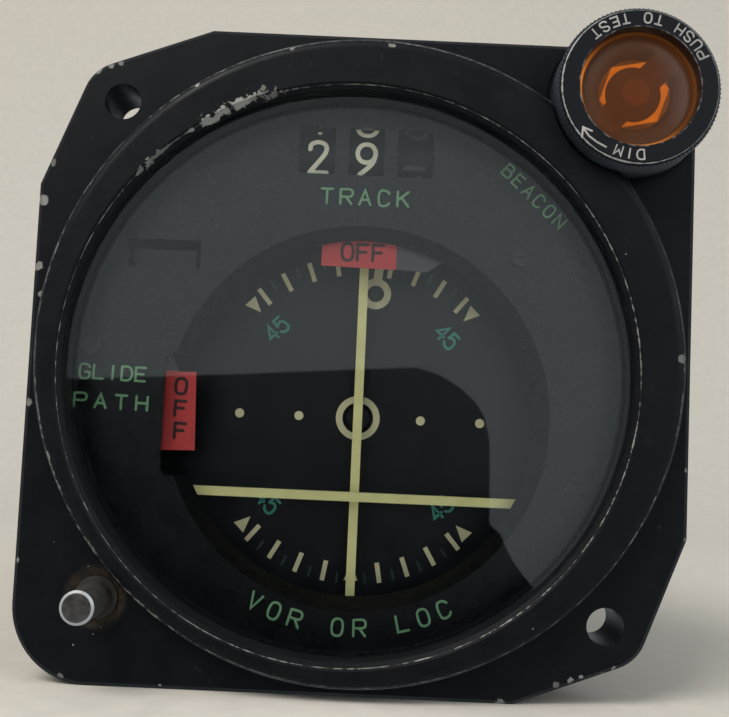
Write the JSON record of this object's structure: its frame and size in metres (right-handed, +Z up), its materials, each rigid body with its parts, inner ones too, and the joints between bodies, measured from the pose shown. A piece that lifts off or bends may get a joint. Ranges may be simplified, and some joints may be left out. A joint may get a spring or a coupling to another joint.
{
  "type": "aircraft course indicator",
  "caption": "Panel-mounted course deviation indicator with crossed needles, course counter, warning flags and a marker lamp, in a square flange with a round case.",
  "frame": {"origin": "centre of the flange's front plane, on the axis of the two mounting holes' circle", "axes": "-Y out of the face towards the viewer, +Z up on the dial, +X to the dial's right, +Y into the case"},
  "size_m": [0.0833, 0.1396, 0.0849],
  "materials": {
    "bezel_casting": "worn black paint",
    "glass_gasket": "plain",
    "cover_glass": "clear",
    "glass_clamp_ring": "anodised",
    "dial_mask": "matt black",
    "small_screws": "blackened",
    "mask_posts": "turned",
    "dial_plate": "matt black with printed scale",
    "dial_spacers": "turned",
    "heading_pointer": "cream paint",
    "course_flag": "red paint",
    "glide_flag": "red paint",
    "to_from_vane": "matt black",
    "flag_meters": "moulded",
    "to_from_meter": "moulded",
    "course_needle": "pale paint",
    "course_magnet": "ground",
    "course_frame": "milled",
    "glide_needle": "pale paint",
    "glide_magnet": "ground",
    "glide_frame": "milled",
    "course_bush": "worn",
    "course_shaft": "turned",
    "course_pinion": "cut",
    "pinion_cover": "painted",
    "idler_gear": "cut",
    "transfer_gear": "cut",
    "upper_transfer_gear": "cut",
    "contrate_pinion": "cut",
    "cross_shaft": "cut",
    "gear_bridge": "milled",
    "bridge_posts": "turned",
    "units_drum": "matt black with numerals",
    "tens_drum": "matt black with numerals",
    "hundreds_drum": "matt black with numerals",
    "counter_axle": "ground",
    "counter_frame": "bent sheet",
    "front_plate": "milled",
    "plate_screws": "plain",
    "mid_plate": "milled",
    "rear_plate": "milled",
    "chassis_posts": "turned",
    "heading_synchro": "dull plated",
    "course_resolver": "dull plated",
    "rear_case": "black paint",
    "case_screws": "plain",
    "connector_shell": "anodised",
    "connector_insert": "moulded",
    "connector_pins": "gilt",
    "connector_screws": "plain",
    "lamp_housing": "dull",
    "lamp_nut": "dull",
    "lamp_contact": "plain",
    "lamp_spring": "wire",
    "lamp_socket": "plated",
    "lamp_bulb": "clear",
    "lamp_diffuser": "translucent",
    "lamp_cap": "worn black",
    "lamp_lens": "amber",
    "dimmer_shutter": "black"
  },
  "bodies": {
    "instrument": {"bezel_casting": "bezel_casting", "glass_gasket": "glass_gasket", "cover_glass": "cover_glass", "glass_clamp_ring": "glass_clamp_ring", "dial_mask": "dial_mask", "small_screws": "small_screws", "mask_posts": "mask_posts", "dial_plate": "dial_plate", "dial_spacers": "dial_spacers", "flag_meters": "flag_meters", "to_from_meter": "to_from_meter", "course_magnet": "course_magnet", "course_frame": "course_frame", "glide_magnet": "glide_magnet", "glide_frame": "glide_frame", "course_bush": "course_bush", "pinion_cover": "pinion_cover", "gear_bridge": "gear_bridge", "bridge_posts": "bridge_posts", "counter_axle": "counter_axle", "counter_frame": "counter_frame", "front_plate": "front_plate", "plate_screws": "plate_screws", "mid_plate": "mid_plate", "rear_plate": "rear_plate", "chassis_posts": "chassis_posts", "heading_synchro": "heading_synchro", "course_resolver": "course_resolver", "rear_case": "rear_case", "case_screws": "case_screws", "connector_shell": "connector_shell", "connector_insert": "connector_insert", "connector_pins": "connector_pins", "connector_screws": "connector_screws", "lamp_housing": "lamp_housing", "lamp_nut": "lamp_nut", "lamp_contact": "lamp_contact", "lamp_spring": "lamp_spring"},
    "course_set": {"course_shaft": "course_shaft", "course_pinion": "course_pinion"},
    "idler": {"idler_gear": "idler_gear"},
    "transfer": {"transfer_gear": "transfer_gear"},
    "upper_transfer": {"upper_transfer_gear": "upper_transfer_gear"},
    "contrate_pinion": {"contrate_pinion": "contrate_pinion"},
    "cross_shaft": {"cross_shaft": "cross_shaft"},
    "units_drum": {"units_drum": "units_drum"},
    "tens_drum": {"tens_drum": "tens_drum"},
    "hundreds_drum": {"hundreds_drum": "hundreds_drum"},
    "heading_pointer": {"heading_pointer": "heading_pointer"},
    "course_needle": {"course_needle": "course_needle"},
    "glide_needle": {"glide_needle": "glide_needle"},
    "course_flag": {"course_flag": "course_flag"},
    "glide_flag": {"glide_flag": "glide_flag"},
    "to_from_vane": {"to_from_vane": "to_from_vane"},
    "lamp_plunger": {"lamp_socket": "lamp_socket", "lamp_bulb": "lamp_bulb", "lamp_diffuser": "lamp_diffuser"},
    "lamp_cap": {"lamp_cap": "lamp_cap", "lamp_lens": "lamp_lens", "dimmer_shutter": "dimmer_shutter"}
  },
  "joints": [
    {"name": "course_set", "type": "hinge", "parent": "instrument", "child": "course_set", "pos_m": [-0.031, 0, -0.0306], "axis": [0, -1, 0], "continuous": true},
    {"name": "idler_spin", "type": "hinge", "parent": "instrument", "child": "idler", "pos_m": [-0.02383, 0.018, -0.02362], "axis": [0, -1, 0], "continuous": true},
    {"name": "transfer_spin", "type": "hinge", "parent": "instrument", "child": "transfer", "pos_m": [-0.0205, 0.018, -0.009], "axis": [0, -1, 0], "continuous": true},
    {"name": "upper_transfer_spin", "type": "hinge", "parent": "instrument", "child": "upper_transfer", "pos_m": [-0.02307, 0.018, 0.00983], "axis": [0, -1, 0], "continuous": true},
    {"name": "contrate_pinion_spin", "type": "hinge", "parent": "instrument", "child": "contrate_pinion", "pos_m": [-0.0186, 0.018, 0.0215], "axis": [0, -1, 0], "continuous": true},
    {"name": "cross_shaft_spin", "type": "hinge", "parent": "instrument", "child": "cross_shaft", "pos_m": [0, 0.025, 0.0215], "axis": [1, 0, 0], "continuous": true},
    {"name": "units_spin", "type": "hinge", "parent": "instrument", "child": "units_drum", "pos_m": [0, 0.01415, 0.0277], "axis": [1, 0, 0], "continuous": true},
    {"name": "tens_spin", "type": "hinge", "parent": "instrument", "child": "tens_drum", "pos_m": [0, 0.01415, 0.0277], "axis": [1, 0, 0], "continuous": true},
    {"name": "hundreds_spin", "type": "hinge", "parent": "instrument", "child": "hundreds_drum", "pos_m": [0, 0.01415, 0.0277], "axis": [1, 0, 0], "continuous": true},
    {"name": "heading_turn", "type": "hinge", "parent": "instrument", "child": "heading_pointer", "pos_m": [0, 0.0134, -0.0069], "axis": [0, -1, 0], "continuous": true},
    {"name": "course_deviation", "type": "hinge", "parent": "instrument", "child": "course_needle", "pos_m": [0, 0.091, 0], "axis": [0, 0, 1], "range_deg": [-10, 10], "stiffness_Nm_per_rad": 0.02},
    {"name": "glide_deviation", "type": "hinge", "parent": "instrument", "child": "glide_needle", "pos_m": [0.0141, 0.0885, -0.0069], "axis": [1, 0, 0], "range_deg": [-17.6, 2.4], "stiffness_Nm_per_rad": 0.02},
    {"name": "course_flag_lift", "type": "hinge", "parent": "instrument", "child": "course_flag", "pos_m": [0.025, 0.008, 0.0185], "axis": [0, 1, 0], "range_deg": [0, 11], "stiffness_Nm_per_rad": 0.0005, "springref_deg": -8.59},
    {"name": "glide_flag_swing", "type": "hinge", "parent": "instrument", "child": "glide_flag", "pos_m": [-0.0285, 0.008, 0.008], "axis": [0, 1, 0], "range_deg": [0, 22], "stiffness_Nm_per_rad": 0.0005, "springref_deg": -8.59},
    {"name": "to_from_swing", "type": "hinge", "parent": "instrument", "child": "to_from_vane", "pos_m": [-0.017, 0.008, 0.0156], "axis": [0, -1, 0], "range_deg": [-24, 24], "stiffness_Nm_per_rad": 0.002},
    {"name": "lamp_press", "type": "slide", "parent": "instrument", "child": "lamp_plunger", "axis": [0, 1, 0], "range_m": [0, 0.0011], "stiffness_N_per_m": 400, "deforming": ["lamp_spring"]},
    {"name": "lamp_dim", "type": "hinge", "parent": "lamp_plunger", "child": "lamp_cap", "pos_m": [0.0323, -0.004, 0.0339], "axis": [0, -1, 0], "range_deg": [0, 90]}
  ],
  "couplings": [
    {"joint": "idler_spin", "follows": "course_set", "ratio": -1.5},
    {"joint": "transfer_spin", "follows": "course_set", "ratio": 0.54545},
    {"joint": "upper_transfer_spin", "follows": "course_set", "ratio": -0.75},
    {"joint": "contrate_pinion_spin", "follows": "course_set", "ratio": 1.3333},
    {"joint": "cross_shaft_spin", "follows": "course_set", "ratio": -1.0909},
    {"joint": "units_spin", "follows": "course_set", "ratio": 0.72727},
    {"joint": "tens_spin", "follows": "course_set", "ratio": 0.072727},
    {"joint": "hundreds_spin", "follows": "course_set", "ratio": 0.0072727}
  ]
}
